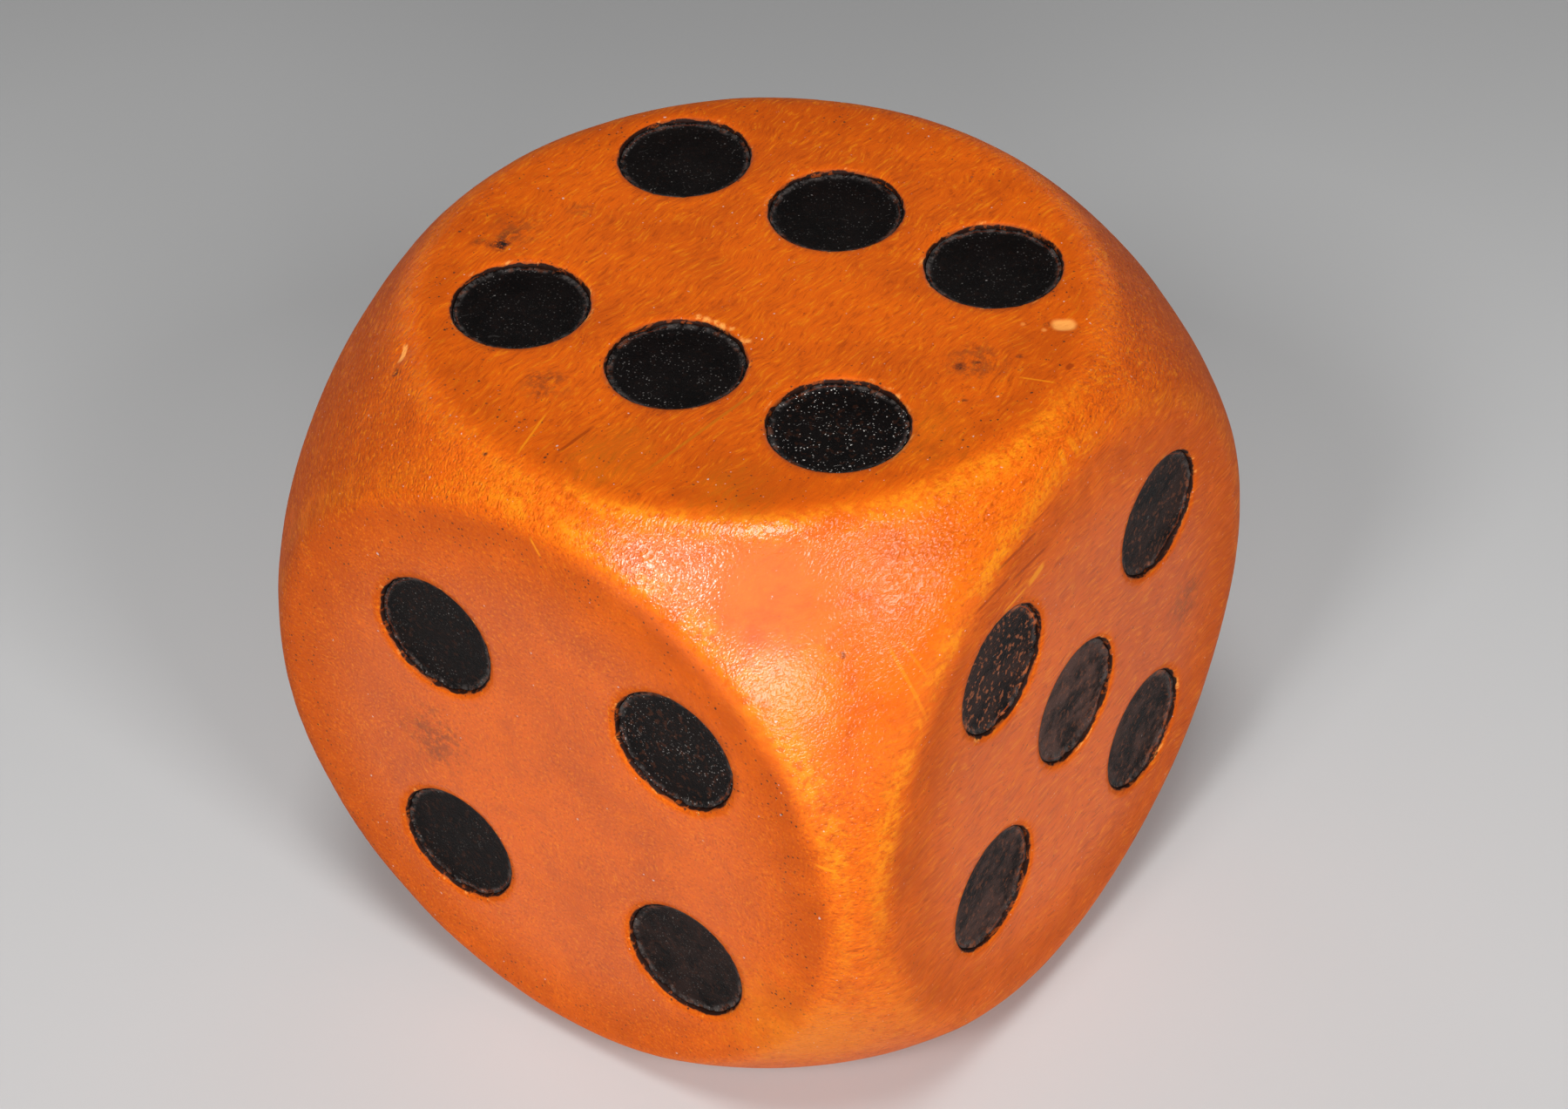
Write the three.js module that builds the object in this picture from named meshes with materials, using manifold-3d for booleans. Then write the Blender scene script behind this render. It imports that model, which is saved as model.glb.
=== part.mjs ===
// A wooden die: a cube of wood rounded to a ball, with drilled pips that each hold a film of paint.
// Millimetres, +Z up. The origin is the middle of the face that the die stands on.
import * as THREE from 'three';
import { mergeGeometries, mergeVertices } from 'three/addons/utils/BufferGeometryUtils.js';
import Module from 'manifold-3d';

// Driving dimensions of the block
const EDGE = 30; // from each face to the opposite one
const EDGE_RELIEF = 0.96; // how far the ball cuts back the middle of each cube edge
const RIM_ROUND = 2.3; // radius between a flat face and the ball

// Driving dimensions of the drilled pips
const PIP_DIAMETER = 5.4;
const PIP_DEPTH = 0.5;
const ROW_END_INSET = 0.2; // how far the end pips of a row of three lie inside midway to the rim
const DRILL_OVERRUN = 1; // how far the drill starts above the face

// Driving dimensions of the paint in each pip
const PAINT_THICKNESS = 0.2;
const PAINT_LIP_WIDTH = 0.45; // width over which the edge of the paint climbs the wall
const PAINT_LIP_DROP = 0.12; // from the face down to the top of that edge
const PAINT_CLEARANCE = 0.02; // between the edge of the paint and the wall

// Facets of the curved surfaces
const SPOKES = 48; // around each face, a multiple of eight
const RINGS = 7; // from the edge of a flat out to the seam with the next face
const PIP_SIDES = 30;

// The faces: how each is turned from looking up (tilted about X, then spun about Z), and how far
// the drilling jig strayed on it, along the face's own two axes and in turn. Angles are in degrees.
const FACES = [
  { name: 'one', tilt: 180, spin: 0, stray: [0, 0], turn: 0 },
  { name: 'two', tilt: 90, spin: -90, stray: [0, 0], turn: 0 },
  { name: 'three', tilt: 90, spin: 180, stray: [0, 0], turn: 0 },
  { name: 'four', tilt: 90, spin: 0, stray: [0.7, -0.17], turn: -0.5 },
  { name: 'five', tilt: 90, spin: 90, stray: [0.29, 0.51], turn: -2.3 },
  { name: 'six', tilt: 0, spin: 0, stray: [-0.16, 0.47], turn: 2.6 },
];

// The ball and the rounded rims, measured from the middle of the block
const half = EDGE / 2;
const ballRadius = Math.SQRT2 * half - EDGE_RELIEF;
const rimCircle = Math.sqrt(ballRadius ** 2 - half ** 2); // where a face would meet the ball sharply
const roundHeight = half - RIM_ROUND; // height of the rim round's centre
const roundReach = ballRadius - RIM_ROUND; // its distance from the middle
const flatRadius = Math.sqrt(roundReach ** 2 - roundHeight ** 2); // its distance from the axis
const flatTilt = Math.atan2(flatRadius, half); // where the flat ends
const ballTilt = Math.atan2(flatRadius, roundHeight); // where the ball begins

// Pip places: a corner pip lies midway between a middle pip and the rim, and so, but for its
// inset, does the end pip of a row of three
const pipRadius = PIP_DIAMETER / 2;
const corner = (rimCircle + pipRadius) / 2 / Math.SQRT2;
const rowRim = Math.sqrt(rimCircle ** 2 - corner ** 2);
const rowEnd = (rowRim + pipRadius) / 2 - ROW_END_INSET;

const MIDDLE = [[0, 0]];
const FALLING = [[-corner, corner], [corner, -corner]];
const RISING = [[corner, corner], [-corner, -corner]];
const LAYOUTS = {
  one: MIDDLE,
  two: FALLING,
  three: [...FALLING, ...MIDDLE],
  four: [...FALLING, ...RISING],
  five: [...FALLING, ...RISING, ...MIDDLE],
  six: [corner, -corner].flatMap((y) => [-rowEnd, 0, rowEnd].map((x) => [x, y])),
};

const wasm = await Module();
wasm.setup();

// A closed mesh as a solid that can be cut
function toSolid(geometry) {
  geometry.deleteAttribute('normal');
  geometry.deleteAttribute('uv');
  const welded = mergeVertices(geometry);
  const vertProperties = new Float32Array(welded.attributes.position.array);
  const triVerts = new Uint32Array(welded.index.array);
  return new wasm.Manifold(new wasm.Mesh({ numProp: 3, vertProperties, triVerts }));
}

// A cut solid as a mesh again
function toGeometry(solid) {
  const mesh = solid.getMesh();
  const geometry = new THREE.BufferGeometry();
  geometry.setAttribute('position', new THREE.BufferAttribute(mesh.vertProperties, 3));
  geometry.setIndex(new THREE.BufferAttribute(mesh.triVerts, 1));
  geometry.computeVertexNormals();
  return geometry;
}

// The turn that brings a face from looking up to its own side
function faceTurn(face) {
  const tilt = THREE.MathUtils.degToRad(face.tilt);
  const spin = THREE.MathUtils.degToRad(face.spin);
  return new THREE.Euler(tilt, 0, spin, 'ZXY');
}

// Where each pip of a face lies on it, with the jig's error
function pipPlaces(face) {
  const turn = THREE.MathUtils.degToRad(face.turn);
  const stray = new THREE.Vector2(...face.stray);
  const origin = new THREE.Vector2();
  return LAYOUTS[face.name].map(([x, y]) => new THREE.Vector2(x, y).rotateAround(origin, turn).add(stray));
}

// How far the block reaches from its middle, in a direction tilted from a face's axis
function reach(tilt) {
  if (tilt <= flatTilt) {
    return half / Math.cos(tilt);
  }
  if (tilt >= ballTilt) {
    return ballRadius;
  }
  const along = flatRadius * Math.sin(tilt) + roundHeight * Math.cos(tilt);
  return along + Math.sqrt(along ** 2 - roundReach ** 2 + RIM_ROUND ** 2);
}

// The sixth of the block's surface that looks up: a fan on the flat, then rings out to the seams
function facePatch() {
  const positions = [0, 0, half];
  const index = [];
  const vertex = (ring, spoke) => 1 + ring * SPOKES + (spoke % SPOKES);
  for (let ring = 0; ring <= RINGS; ring++) {
    for (let spoke = 0; spoke < SPOKES; spoke++) {
      const bearing = (2 * Math.PI * spoke) / SPOKES;
      const across = Math.cos(bearing);
      const deep = Math.sin(bearing);
      const seamTilt = Math.atan(1 / Math.max(Math.abs(across), Math.abs(deep)));
      const tilt = THREE.MathUtils.lerp(flatTilt, seamTilt, ring / RINGS);
      const out = reach(tilt) * Math.sin(tilt);
      positions.push(out * across, out * deep, reach(tilt) * Math.cos(tilt));
    }
  }
  for (let spoke = 0; spoke < SPOKES; spoke++) {
    index.push(0, vertex(0, spoke), vertex(0, spoke + 1));
    for (let ring = 0; ring < RINGS; ring++) {
      index.push(vertex(ring, spoke), vertex(ring + 1, spoke), vertex(ring + 1, spoke + 1));
      index.push(vertex(ring, spoke), vertex(ring + 1, spoke + 1), vertex(ring, spoke + 1));
    }
  }
  const patch = new THREE.BufferGeometry();
  patch.setAttribute('position', new THREE.Float32BufferAttribute(positions, 3));
  patch.setIndex(index);
  return patch;
}

// What the drill takes out of the face that looks up, at one place
function drillCut(place) {
  const length = PIP_DEPTH + DRILL_OVERRUN;
  const cut = new THREE.CylinderGeometry(pipRadius, pipRadius, length, PIP_SIDES);
  cut.rotateX(Math.PI / 2);
  cut.translate(place.x, place.y, half - PIP_DEPTH + length / 2);
  return cut;
}

// The rounded cube with every pip drilled
function woodenBlock() {
  const turned = (geometry, face) => {
    return geometry.applyMatrix4(new THREE.Matrix4().makeRotationFromEuler(faceTurn(face)));
  };
  let solid = toSolid(mergeGeometries(FACES.map((face) => turned(facePatch(), face))));
  for (const face of FACES) {
    for (const place of pipPlaces(face)) {
      solid = solid.subtract(toSolid(turned(drillCut(place), face)));
    }
  }
  return toGeometry(solid);
}

// The film of paint in one pip: thin over the floor, with an edge that climbs the wall
function paintFilm() {
  const edge = pipRadius - PAINT_CLEARANCE;
  const profile = [
    new THREE.Vector2(0, 0),
    new THREE.Vector2(edge, 0),
    new THREE.Vector2(edge, PIP_DEPTH - PAINT_LIP_DROP),
    new THREE.Vector2(edge - PAINT_LIP_WIDTH, PAINT_THICKNESS),
    new THREE.Vector2(0, PAINT_THICKNESS),
  ];
  return new THREE.LatheGeometry(profile, PIP_SIDES).rotateX(Math.PI / 2);
}

const lacqueredWood = new THREE.MeshStandardMaterial({ color: 0xcb6316, roughness: 0.42, metalness: 0 });
const blackPaint = new THREE.MeshStandardMaterial({ color: 0x1b1717, roughness: 0.6, metalness: 0 });

const die = new THREE.Group();
die.position.z = half;

const block = new THREE.Mesh(woodenBlock(), lacqueredWood);
block.name = 'wooden_block';
die.add(block);

for (const face of FACES) {
  const side = new THREE.Group();
  side.rotation.copy(faceTurn(face));
  pipPlaces(face).forEach((place, order) => {
    const film = new THREE.Mesh(paintFilm(), blackPaint.clone());
    film.name = `pip_${face.name}_${order + 1}`;
    film.position.set(place.x, place.y, half - PIP_DEPTH);
    side.add(film);
  });
  die.add(side);
}

export default die;
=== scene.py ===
"""A worn wooden die: an orange lacquered block with drilled pips, each with its film of black paint.

Lengths are millimetres, and each geometry tree scales its result to metres at its end.
"""
import math

import bpy
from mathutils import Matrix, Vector


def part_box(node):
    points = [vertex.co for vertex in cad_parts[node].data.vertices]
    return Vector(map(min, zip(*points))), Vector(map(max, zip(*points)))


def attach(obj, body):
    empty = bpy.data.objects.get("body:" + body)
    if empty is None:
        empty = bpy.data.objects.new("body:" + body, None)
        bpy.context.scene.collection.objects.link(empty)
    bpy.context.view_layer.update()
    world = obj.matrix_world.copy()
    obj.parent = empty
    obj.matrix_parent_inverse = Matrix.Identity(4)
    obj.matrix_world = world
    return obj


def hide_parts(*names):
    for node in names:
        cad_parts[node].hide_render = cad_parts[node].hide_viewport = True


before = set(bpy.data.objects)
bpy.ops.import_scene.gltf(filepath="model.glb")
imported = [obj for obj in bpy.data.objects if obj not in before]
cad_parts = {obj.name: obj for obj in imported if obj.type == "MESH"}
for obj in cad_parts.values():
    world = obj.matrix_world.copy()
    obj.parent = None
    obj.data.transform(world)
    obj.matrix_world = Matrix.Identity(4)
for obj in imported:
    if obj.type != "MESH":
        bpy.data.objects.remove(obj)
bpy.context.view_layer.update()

MILLIMETRE = 0.001

# The block
EDGE_RELIEF = 0.96  # how far the ball cuts back the middle of each cube edge
RIM_ROUND = 2.3  # radius between a flat face and the ball
CRISP_RIM_ROUND = 1.1  # the same on the face with four pips, which is rubbed least
SOFT_RIM_ROUND = 2.9  # and on the face with five pips, which is rubbed most
UNEVENNESS = 0.22  # how far the surface swells and sinks
GRID_COUNT = 105  # vertices along each edge of the cube, before it is rounded
SHARP_BEND = math.radians(38)  # an edge that bends more than this is shaded sharp

# Small knocks, scattered over the ball
DENT_SPACING = 5.0
DENT_SHARE = 0.35  # how many of the places for a dent have one
DENT_DEPTH = 0.07

# The drilled pips
PIP_DEPTH = 0.5
PIP_CLEARANCE = 0.02  # between a film of paint and the wall round it
FLARE_WIDTH = 0.28  # how far the rounding of a rim reaches outwards
FLARE_DEPTH = 0.14  # and downwards
TEAR_OUT = 0.08  # how far the drill tore fibres out of a rim
NIBBLE = 0.02  # and how far it frayed the rest
DRILL_OVERRUN = 1.0  # how far the drill stands above the face
DRILL_SIDES = 112
DRILL_RISES = 20
TORN_STRETCH = (1.0, 0.35, 1.0)  # torn fibres are longer along Y

# The films of paint
PAINT_THICKNESS = 0.2
LIP_FALL = 0.26  # width over which the raised edge falls to about a third
PAINT_LUMPS = 0.05
FILM_SIDES = 97
FILM_RINGS = 42
UNDERSIDE_END = 0.05  # where a film's path, from under its middle to over it, leaves the underside
WALL_END = 0.14  # and where it leaves the wall

# The finishes: fineness of the fibre, shine, and the height of the relief
WOOD_FINENESS = 7.5
WOOD_SHINE = 0.12
LACQUER_ROUGHNESS = 0.18
LACQUER_RELIEF = 0.16
PAINT_FINENESS = 5.0
PAINT_SHINE = 0.10
PAINT_RELIEF = 0.04

# How worn, how flecked with bare wood and how dusty the paint is, on each face and on pips that differ
PAINT_AMOUNTS = ("wear", "flecks", "dusting")
FACE_PAINT = {
    "one": (0.4, 0.4, 0.1),
    "two": (0.5, 0.5, 0.2),
    "three": (0.4, 0.4, 0.2),
    "four": (0.05, 0.05, 0.2),
    "five": (0.7, 0.25, 0.1),
    "six": (0.02, 0.01, 0.15),
}
PIP_PAINT = {
    "pip_four_2": (0.2, 0.05, 0.2),
    "pip_four_3": (0.05, 0.10, 0.5),
    "pip_five_1": (0.35, 0.85, 0.1),
    "pip_five_3": (0.3, 0.25, 0.1),
    "pip_five_5": (1.0, 0.25, 0.1),
    "pip_six_5": (0.02, 0.01, 0.22),
    "pip_six_6": (0.02, 0.05, 1.0),
}

# The photograph's camera: where it stands, what it looks at, its roll and its lens
CAMERA_PLACE = Vector((70.2, -93.0, 118.2))
CAMERA_AIM = Vector((0.2, 1.0, 15.7))
CAMERA_ROLL = math.radians(-2.24)
CAMERA_LENS = 85.6
SENSOR_WIDTH = 36.0
NEAREST_SEEN = 10

# The stage
LAMP_DISTANCE = 1200
FLOOR_REACH = 900
FLOOR_DROP = 0.02  # below the die, whose underside is a little uneven
FLOOR_SHADE_FADE = (-25, 105)  # from in front of the die to behind it, where painted shade darkens the floor
FLOOR_ROUGHNESS = 0.8
FILL_LIGHT = 0.03
BACKDROP_GLOW = 0.30  # added to the fill light where the camera sees the backdrop itself

# Colours, as linear light
STAIN_ORANGE = (0.68, 0.106, 0.001, 1)
# A deeper tone of the stain, also used as painted shade on the block's far side and the top's back edge
DEEP_STAIN_AND_SHADE = (0.44, 0.062, 0.0005, 1)
STAIN_DARK = (0.27, 0.032, 0.0005, 1)
STAIN_WORN = (0.76, 0.135, 0.001, 1)
STAIN_YELLOW = (0.82, 0.255, 0.004, 1)
STAIN_OLIVE = (0.50, 0.135, 0.003, 1)
BARE_WOOD = (0.93, 0.36, 0.075, 1)
GRIME = (0.10, 0.030, 0.010, 1)
SOOT = (0.018, 0.010, 0.008, 1)
DUST = (0.62, 0.58, 0.54, 1)
PAINT_BLACK = (0.0025, 0.0020, 0.0020, 1)
PAINT_BROWN = (0.080, 0.040, 0.031, 1)
FLECK_BROWN = (0.30, 0.090, 0.035, 1)
# Grey on a film's raised edge: partly dust and wear, partly a painted sheen where that edge catches the
# light
LIP_DUST_AND_SHEEN = (0.10, 0.088, 0.082, 1)
LIP_BARE = (0.50, 0.130, 0.040, 1)
# Floor colours: pale in front of the die, and darker behind it as painted shade
FLOOR_NEAR = (0.545, 0.545, 0.545, 1)
FLOOR_FAR_SHADED = (0.25, 0.25, 0.25, 1)
WHITE = (1, 1, 1, 1)

# Places on the rubbed front corner: its middle, and where its lacquer is glossiest and smoothest
POLISHED_CORNER = (10.3, -12.2, 27.2)
GLOSSIEST = (6.6, -13.4, 28.0)
SMOOTHEST = (9.6, -12.7, 27.6)

# What the frame gives: the block's box and the films of paint
BLOCK_LOW, BLOCK_HIGH = (Vector(corner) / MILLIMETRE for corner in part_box("wooden_block"))
MIDDLE = (BLOCK_LOW + BLOCK_HIGH) / 2
HALF_EDGE = (BLOCK_HIGH.x - BLOCK_LOW.x) / 2
BALL_RADIUS = math.sqrt(2) * HALF_EDGE - EDGE_RELIEF


class Pip:
    """One film of paint as the frame has it: the middle of its floor, its radius and its height."""

    def __init__(self, node):
        self.node = node
        bottom, top = (Vector(corner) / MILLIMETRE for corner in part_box(node))
        size = top - bottom
        middle = (bottom + top) / 2
        thin = min(range(3), key=lambda axis: size[axis])
        self.outward = Vector((0, 0, 0))
        self.outward[thin] = math.copysign(1, middle[thin] - MIDDLE[thin])
        self.height = size[thin]
        self.radius = max(size) / 2
        self.floor = middle - self.outward * (self.height / 2)


PIPS = [Pip(node) for node in sorted(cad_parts) if node.startswith("pip_")]
PIP_RADIUS = PIPS[0].radius + PIP_CLEARANCE


# Marks on the block

def on_four(x, z):
    """A place on the face with four pips."""
    return (x, BLOCK_LOW.y, z)


def on_five(y, z):
    """A place on the face with five pips."""
    return (BLOCK_HIGH.x, y, z)


def on_six(x, y):
    """A place on the face with six pips."""
    return (x, y, BLOCK_HIGH.z)


# Spots: a place on the surface, a radius, and how strong the mark is
PALE_CHIPS = [
    ((9.1, -12.4, 27.8), 0.09, 0.8),
    (on_six(10.75, 4.1), 0.16, 0.5),
    (on_six(9.9, 4.0), 0.16, 0.4),
]
SOOT_SPOTS = [
    (on_six(-11.1, -3.3), 0.42, 0.5),
    (on_six(-10.3, -3.05), 0.60, 1.0),
    ((-9.2, -11.0, 29.3), 0.32, 0.9),
    (on_six(10.7, 4.45), 0.20, 0.7),
    ((-2.8, -13.4, 29.8), 0.13, 1.0),
    ((12.2, -11.8, 26.0), 0.20, 0.7),
    ((11.3, 9.1, 29.2), 0.30, 0.5),
    (on_six(9.3, 0.4), 0.35, 0.8),
    (on_six(9.8, 1.0), 0.25, 0.7),
    (on_six(10.9, 2.2), 0.22, 0.6),
    (on_six(10.6, -1.2), 0.22, 0.7),
]
SMUDGES = [
    (on_six(-10.4, -2.3), 0.7, 0.6),
    (on_four(-5.6, 14.8), 2.2, 0.55),
    (on_five(8.8, 14.6), 1.9, 0.45),
    (on_six(-10.4, -1.8), 1.5, 0.4),
    (on_six(9.7, 1.0), 1.6, 0.5),
    (on_six(-3.4, -9.0), 1.3, 0.5),
    (on_six(-9.0, 0.6), 0.9, 0.4),
    ((-15.0, 5.5, 21.0), 1.8, 0.45),
    ((-15.0, -3.5, 8.0), 1.4, 0.4),
    ((4.5, 15.0, 8.5), 2.0, 0.45),
    ((-4.0, 15.0, 24.5), 1.3, 0.4),
    ((5.0, -4.5, 0.0), 1.9, 0.45),
]
RUBBED_SPOTS = [
    ((11.0, -13.5, 24.9), 2.8, 0.45),
    ((11.6, -13.4, 7.5), 5.0, 0.40),
]
OLIVE_STREAKS = [
    (on_six(1.5, -11.3), 2.6, 0.5),
    (on_six(6.4, -10.4), 2.4, 0.5),
    (on_six(10.4, -3.8), 2.6, 0.45),
]
TORN_BITS = [
    (on_six(-0.9, -2.5), 0.22, 0.9),
    (on_six(-0.15, -2.4), 0.24, 0.9),
    (on_six(-0.5, -2.5), 0.28, 0.9),
    (on_six(0.2, -2.45), 0.26, 0.9),
    (on_six(0.65, -2.4), 0.22, 0.8),
    (on_six(1.6, -2.75), 0.26, 0.8),
    (on_six(7.0, -2.15), 0.22, 0.6),
    (on_six(7.7, -2.15), 0.20, 0.7),
    (on_six(8.3, -2.35), 0.20, 0.6),
    (on_six(8.9, -2.7), 0.20, 0.6),
]

# Dents: a place on the surface, a radius and a depth
LARGE_DENTS = [
    (on_six(11.3, 4.9), 0.7, 0.12),
    ((-9.5, -10.2, 29.6), 0.6, 0.12),
]

# Scratches and nicks: both ends, a half width, and how strong the mark is
NICKS = [
    (on_six(10.8, 4.5), on_six(11.65, 5.15), 0.48, 0.95),
    ((-9.63, -9.75, 29.7), (-9.37, -10.65, 29.5), 0.17, 0.9),
]
PALE_LINES = [
    (on_six(-1.6, -13.0), on_six(-2.2, -10.3), 0.06, 0.7),
    (on_six(11.5, 1.1), on_six(12.9, 1.6), 0.06, 0.6),
    ((0.4, -14.9, 28.4), (0.9, -15.0, 27.6), 0.07, 0.7),
    ((13.2, -10.5, 26.2), (15.0, -10.4, 23.0), 0.10, 0.4),
    ((13.5, -10.1, 26.2), (14.8, -9.9, 24.5), 0.08, 0.3),
    ((14.5, -0.7, 29.1), (14.9, -0.8, 28.4), 0.22, 0.5),
    ((14.4, -0.1, 29.2), (14.9, 0.2, 28.4), 0.22, 0.4),
    (on_five(-2.4, 24.9), on_five(-3.6, 24.6), 0.20, 0.9),
    (on_five(-3.6, 24.6), on_five(-5.3, 24.5), 0.08, 0.8),
    ((12.9, -14.9, 18.2), (13.7, -14.6, 17.9), 0.09, 0.7),
]
DARK_LINES = [
    (on_six(-0.4, -12.1), on_six(-0.2, -10.0), 0.10, 0.7),
    (on_six(12.8, 2.5), on_six(12.8, 3.0), 0.14, 0.8),
    (on_five(-2.9, 26.9), on_five(-5.7, 26.9), 0.09, 0.6),
    (on_five(-4.8, 26.0), on_five(-7.2, 25.9), 0.09, 0.6),
    (on_five(-2.1, 25.6), on_five(-4.8, 25.7), 0.09, 0.6),
    (on_four(5.6, 23.1), on_four(5.9, 22.7), 0.10, 0.8),
]
OLIVE_LINES = [
    (on_six(2.97, -11.3), on_six(3.75, -4.45), 0.09, 0.75),
]


# Node trees

SOCKET_KINDS = {
    "number": "NodeSocketFloat",
    "count": "NodeSocketInt",
    "vector": "NodeSocketVector",
    "shape": "NodeSocketGeometry",
    "material": "NodeSocketMaterial",
}


class Graph:
    """Places nodes in a tree. A value is a number, a tuple, or another node's socket."""

    def __init__(self, tree):
        self.tree = tree

    def node(self, kind, values=None, **settings):
        made = self.tree.nodes.new(kind)
        for key, setting in settings.items():
            setattr(made, key, setting)
        for key, value in (values or {}).items():
            self.feed(made.inputs[key], value)
        return made

    def feed(self, socket, value):
        if isinstance(value, bpy.types.NodeSocket):
            self.tree.links.new(value, socket)
        else:
            socket.default_value = value

    def math(self, operation, *values):
        return self.node("ShaderNodeMath", dict(enumerate(values)), operation=operation).outputs[0]

    def product(self, first, *others):
        """All the numbers multiplied."""
        for other in others:
            first = self.math("MULTIPLY", first, other)
        return first

    def line(self, value, slope, start):
        """A straight line: value times slope, plus start."""
        return self.math("MULTIPLY_ADD", value, slope, start)

    def ramp(self, value, low, high, start=0.0, end=1.0, easing="LINEAR"):
        """A number that goes from start to end while value goes from low to high."""
        values = {"Value": value, "From Min": low, "From Max": high, "To Min": start, "To Max": end}
        return self.node("ShaderNodeMapRange", values, interpolation_type=easing).outputs["Result"]

    def step(self, value, low, high, start=0.0, end=1.0):
        """The same, eased in and out."""
        return self.ramp(value, low, high, start, end, "SMOOTHSTEP")

    def between(self, value, rise_from, rise_to, fall_from, fall_to):
        """1 where value lies in a band, eased to 0 on both sides of it."""
        rising = self.step(value, rise_from, rise_to)
        return self.product(rising, self.step(value, fall_from, fall_to, 1.0, 0.0))

    def vector(self, operation, *values):
        made = self.node("ShaderNodeVectorMath", dict(enumerate(values)), operation=operation)
        single = operation in ("DOT_PRODUCT", "LENGTH", "DISTANCE")
        return made.outputs["Value" if single else "Vector"]

    def scaled(self, vector, factor):
        values = {"Vector": vector, "Scale": factor}
        return self.node("ShaderNodeVectorMath", values, operation="SCALE").outputs["Vector"]

    def parts(self, vector):
        """The X, Y and Z of a vector."""
        return self.node("ShaderNodeSeparateXYZ", {0: vector}).outputs

    def joined(self, x=0.0, y=0.0, z=0.0):
        """The vector with this X, Y and Z."""
        return self.node("ShaderNodeCombineXYZ", {0: x, 1: y, 2: z}).outputs[0]

    def noise(self, vector, scale, detail=2.0, roughness=0.5, output="Fac"):
        values = {"Vector": vector, "Scale": scale, "Detail": detail, "Roughness": roughness}
        return self.node("ShaderNodeTexNoise", values).outputs[output]

    def mix(self, share, first, second):
        """Colour that goes from first to second as share goes from 0 to 1."""
        made = self.node("ShaderNodeMix", {0: share, 6: first, 7: second}, data_type="RGBA")
        return made.outputs[2]

    def bump(self, height, relief):
        """The normal of a relief, in which a height of 1 stands this far proud."""
        values = {"Height": height, "Strength": 1.0, "Distance": relief * MILLIMETRE}
        return self.node("ShaderNodeBump", values).outputs[0]

    def group(self, tree, **values):
        made = self.node("ShaderNodeGroup", node_tree=tree)
        for name, value in values.items():
            self.feed(made.inputs[name.title()], value)
        return made.outputs

    def attribute(self, name):
        """A number that a mesh holds, read by a material."""
        return self.node("ShaderNodeAttribute", attribute_name=name).outputs["Fac"]

    def held_vector(self, name):
        """A vector that a mesh holds, read by a geometry tree."""
        values = {"Name": name}
        made = self.node("GeometryNodeInputNamedAttribute", values, data_type="FLOAT_VECTOR")
        return made.outputs[0]

    def stored(self, shape, name, value, kind="FLOAT"):
        """The shape with a value written on each of its points."""
        values = {"Geometry": shape, "Name": name, "Value": value}
        made = self.node("GeometryNodeStoreNamedAttribute", values, data_type=kind, domain="POINT")
        return made.outputs[0]

    def position(self):
        return self.node("GeometryNodeInputPosition").outputs[0]

    def sampled(self, shape, value, index):
        """A vector as it is at one point of a shape."""
        values = {"Geometry": shape, "Value": value, "Index": index}
        return self.node("GeometryNodeSampleIndex", values, data_type="FLOAT_VECTOR").outputs[0]

    def facing(self, vector):
        """The turn that brings Z to a vector."""
        values = {"Vector": vector}
        return self.node("FunctionNodeAlignRotationToVector", values, axis="Z").outputs[0]

    def choice(self, condition, otherwise, chosen):
        """The chosen number where the condition holds, and the other one elsewhere."""
        values = {0: condition, 1: otherwise, 2: chosen}
        return self.node("GeometryNodeSwitch", values, input_type="FLOAT").outputs[0]


def new_group(name, kind, inputs, outputs):
    """A node group with named sockets: its graph, its input sockets and its output sockets."""
    tree = bpy.data.node_groups.new(name, kind)
    for way, sockets in (("INPUT", inputs), ("OUTPUT", outputs)):
        for label, socket_kind in sockets.items():
            tree.interface.new_socket(name=label, in_out=way, socket_type=SOCKET_KINDS[socket_kind])
    given = tree.nodes.new("NodeGroupInput").outputs
    result = tree.nodes.new("NodeGroupOutput").inputs
    return Graph(tree), given, result


def grown_mesh(name, tree, values, pips):
    """The plain mesh that a geometry tree makes at some pips, from values for its named inputs."""
    seed_mesh = bpy.data.meshes.new(name + "_places")
    seed_mesh.from_pydata([tuple(pip.floor) for pip in pips], [], [])
    outward = seed_mesh.attributes.new("outward", "FLOAT_VECTOR", "POINT")
    for datum, pip in zip(outward.data, pips):
        datum.vector = pip.outward
    grower = bpy.data.objects.new(name + "_grower", seed_mesh)
    bpy.context.scene.collection.objects.link(grower)
    modifier = grower.modifiers.new("growth", "NODES")
    modifier.node_group = tree
    for item in tree.interface.items_tree:
        if item.in_out == "INPUT" and item.name in values:
            modifier[item.identifier] = values[item.name]
    evaluated = grower.evaluated_get(bpy.context.evaluated_depsgraph_get())
    mesh = bpy.data.meshes.new_from_object(evaluated)
    grower.modifiers.remove(modifier)
    bpy.data.objects.remove(grower)
    bpy.data.meshes.remove(seed_mesh)
    mesh.name = name
    return mesh


def finished(graph, given, shape):
    """The last nodes of a geometry tree: millimetres to metres, real vertices, a material."""
    scale = (MILLIMETRE, MILLIMETRE, MILLIMETRE)
    sized = graph.node("GeometryNodeTransform", {"Geometry": shape, "Scale": scale}).outputs[0]
    real = graph.node("GeometryNodeRealizeInstances", {"Geometry": sized}).outputs[0]
    finish = {"Geometry": real, "Material": given["Finish"]}
    return graph.node("GeometryNodeSetMaterial", finish).outputs[0]


# The block

def torn_fibres(graph, place):
    """Noise that is high where the drill tore a rim. The shape and the colour both follow it."""
    fibre = graph.vector("MULTIPLY", place, TORN_STRETCH)
    return graph.noise(fibre, 1.9, detail=4.0, roughness=0.62)


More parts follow.
